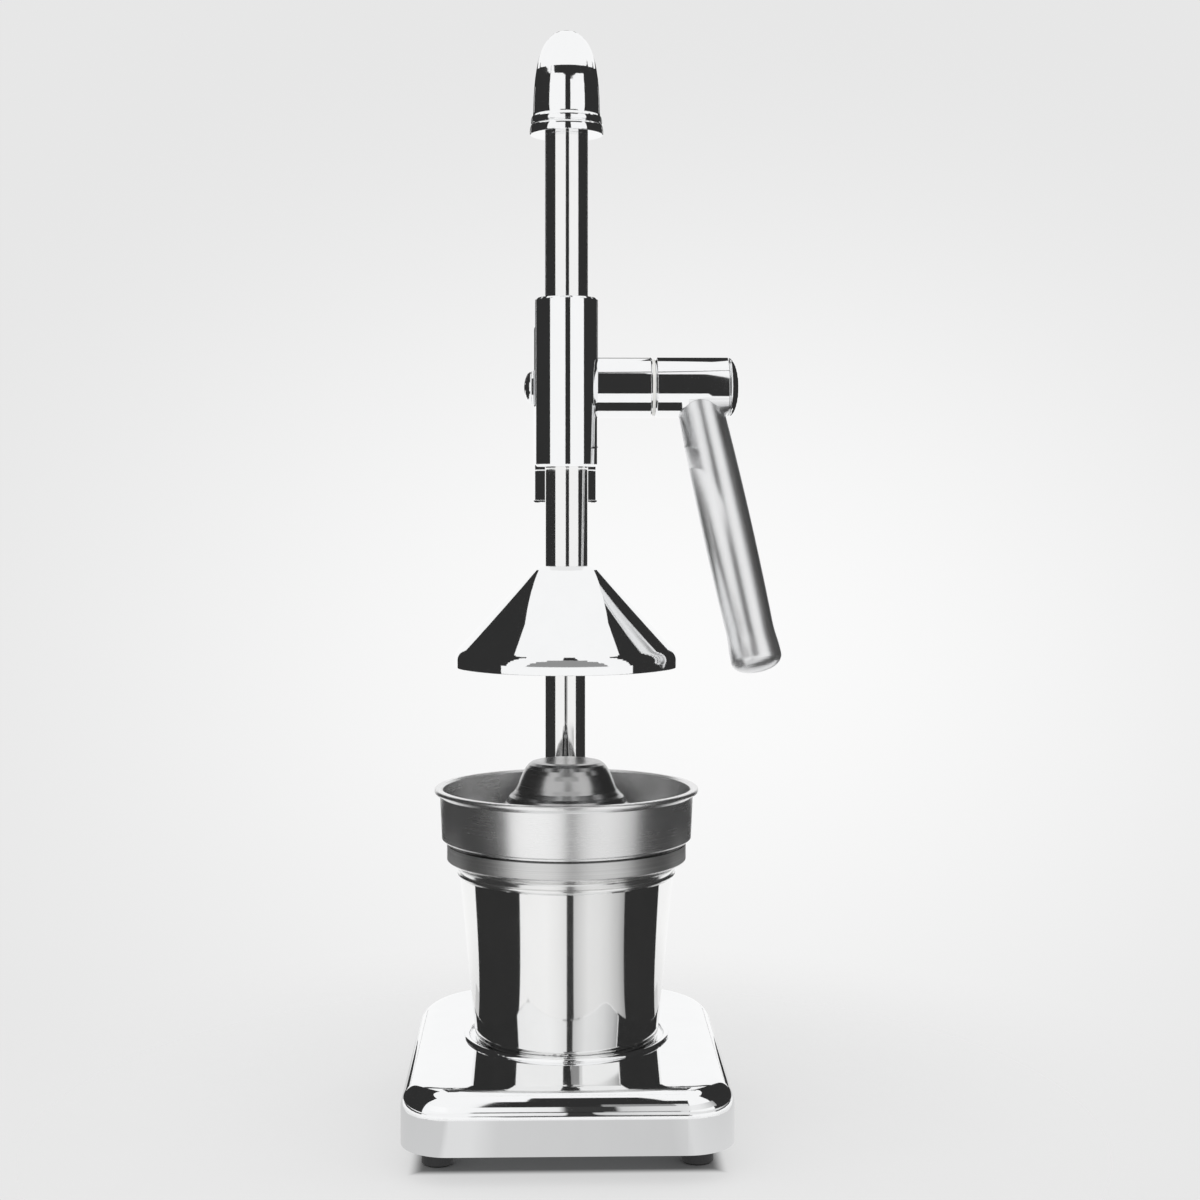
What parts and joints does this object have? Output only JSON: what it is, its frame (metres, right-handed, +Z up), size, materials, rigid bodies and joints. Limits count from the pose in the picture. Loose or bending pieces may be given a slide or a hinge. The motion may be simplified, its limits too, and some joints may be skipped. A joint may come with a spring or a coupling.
{
  "type": "lever citrus juice press",
  "caption": "Upright hand press for citrus: a lever turns a pinion that drives a round rack, and the bell on its end presses fruit on a reamer and strainer over a cup.",
  "frame": {"origin": "the press axis where it meets the table that the feet stand on", "axes": "+Z up along the press axis, +X to the lever's side (the user's right), +Y from the cup back to the post, so the user stands at -Y"},
  "size_m": [0.1431, 0.1566, 0.4243],
  "materials": {
    "chrome": "bright plated, mirror smooth",
    "polished_steel": "polished stainless steel",
    "satin_steel": "satin turned stainless steel",
    "plain_steel": "plain machined steel",
    "bronze": "plain bearing bronze",
    "nylon": "white nylon",
    "rubber": "matt black rubber"
  },
  "bodies": {
    "stand": {"base_shell": "chrome", "base_plate": "plain_steel", "foot_front_left": "rubber", "foot_front_right": "rubber", "foot_rear_left": "rubber", "foot_rear_right": "rubber", "foot_screws": "plain_steel", "post": "polished_steel", "post_insert": "plain_steel", "post_bolt": "plain_steel", "post_bolt_washer": "plain_steel", "head_casting": "chrome", "post_set_screws": "plain_steel", "upper_guide_bush": "bronze", "lower_guide_bush": "bronze", "gear_cover": "chrome", "cover_bush": "bronze", "boss_bush": "bronze", "thrust_washer": "nylon"},
    "lever": {"lever_shaft": "plain_steel", "pinion": "plain_steel", "shaft_key": "plain_steel", "nut_washer": "plain_steel", "dome_nut": "chrome", "lever_hub": "chrome", "hub_grub_screw": "plain_steel", "hub_end_cap": "chrome", "handle_stud": "plain_steel", "handle_grip": "chrome"},
    "press_rod": {"rack": "polished_steel", "top_cap": "chrome", "bell": "chrome", "bell_washer": "plain_steel", "bell_screw": "plain_steel"},
    "cup_set": {"cup": "polished_steel", "strainer": "satin_steel", "reamer": "satin_steel"}
  },
  "joints": [
    {"name": "lever_turn", "type": "hinge", "parent": "stand", "child": "lever", "pos_m": [0, 0.0179, 0.28605], "axis": [1, 0, 0], "range_deg": [-181.5, 300.9]},
    {"name": "rack_slide", "type": "slide", "parent": "stand", "child": "press_rod", "axis": [0, 0, -1], "range_m": [-0.038, 0.063]},
    {"name": "cup_draw", "type": "slide", "parent": "stand", "child": "cup_set", "axis": [0, -0.9063, 0.4226], "range_m": [0, 0.108]}
  ],
  "couplings": [
    {"joint": "lever_turn", "follows": "rack_slide", "rad_per_m": 83.333}
  ]
}
